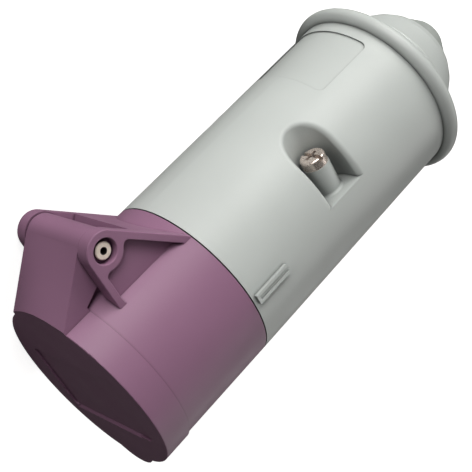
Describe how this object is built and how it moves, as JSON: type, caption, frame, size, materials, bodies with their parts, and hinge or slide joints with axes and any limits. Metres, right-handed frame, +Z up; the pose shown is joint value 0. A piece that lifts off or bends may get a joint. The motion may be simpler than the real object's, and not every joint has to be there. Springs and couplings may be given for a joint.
{
  "type": "industrial power coupler",
  "caption": "Round in-line cable coupler: mauve socket end with sprung hinged lid, grey rear housing with flange, clamp screws and cable gland.",
  "frame": {"origin": "middle of the footprint, on the table the coupler lies on", "axes": "+X along the coupler from the lid to the cable end, +Y towards the side of the hinge, +Z up"},
  "size_m": [0.1568, 0.0754, 0.0602],
  "materials": {
    "mauve": "satin",
    "grey": "satin",
    "carrier": "matte",
    "pin_metal": "polished",
    "screw_metal": "plated",
    "spring_steel": "bright",
    "contact_brass": "bright",
    "seal_rubber": "matte",
    "gland_rubber": "matte"
  },
  "bodies": {
    "body": {"carrier_screw_1": "screw_metal", "carrier_screw_2": "screw_metal", "contact_carrier": "carrier", "contact_sleeve_1": "contact_brass", "contact_sleeve_2": "contact_brass", "front_housing": "mauve", "hinge_pin": "pin_metal", "housing_seal": "seal_rubber", "lid_spring": "spring_steel", "rear_housing": "grey", "terminal_screw_1": "screw_metal", "terminal_screw_2": "screw_metal"},
    "lid": {"lid": "mauve", "lid_gasket": "seal_rubber"},
    "clamp_bar": {"clamp_bar": "carrier"},
    "clamp_screw_1": {"clamp_screw_1": "screw_metal"},
    "clamp_screw_2": {"clamp_screw_2": "screw_metal"},
    "gland_insert": {"gland_seal": "gland_rubber", "gland_washer": "carrier"},
    "gland_nut": {"gland_nut": "grey"}
  },
  "joints": [
    {"name": "lid_hinge", "type": "hinge", "parent": "body", "child": "lid", "pos_m": [-0.05806, 0.0277, 0.01791], "axis": [0.0161, -0.2817, -0.9594], "range_deg": [0, 200], "stiffness_Nm_per_rad": 0.006, "springref_deg": -85.94, "deforming": ["lid_spring"]},
    {"name": "gland_slide", "type": "slide", "parent": "body", "child": "gland_insert", "axis": [0.9999, 0, 0.0167], "range_m": [0, 0.004]},
    {"name": "gland_turn", "type": "hinge", "parent": "gland_insert", "child": "gland_nut", "pos_m": [0.06205, -0.00761, 0.03028], "axis": [0.9999, 0, 0.0167], "range_deg": [0, 720]},
    {"name": "clamp_turn_1", "type": "hinge", "parent": "body", "child": "clamp_screw_1", "pos_m": [0.00603, -0.002, 0.04844], "axis": [-0.0047, -0.9595, 0.2817], "range_deg": [0, 1800]},
    {"name": "clamp_turn_2", "type": "hinge", "parent": "body", "child": "clamp_screw_2", "pos_m": [0.00667, -0.01321, 0.01026], "axis": [-0.0047, -0.9595, 0.2817], "range_deg": [0, 1800]},
    {"name": "clamp_slide", "type": "slide", "parent": "body", "child": "clamp_bar", "axis": [0.0047, 0.9595, -0.2817], "range_m": [0, 0.0035]}
  ],
  "couplings": [
    {"joint": "gland_turn", "follows": "gland_slide", "rad_per_m": 3141.6},
    {"joint": "clamp_turn_1", "follows": "clamp_slide", "rad_per_m": 8976},
    {"joint": "clamp_turn_2", "follows": "clamp_slide", "rad_per_m": 8976}
  ]
}
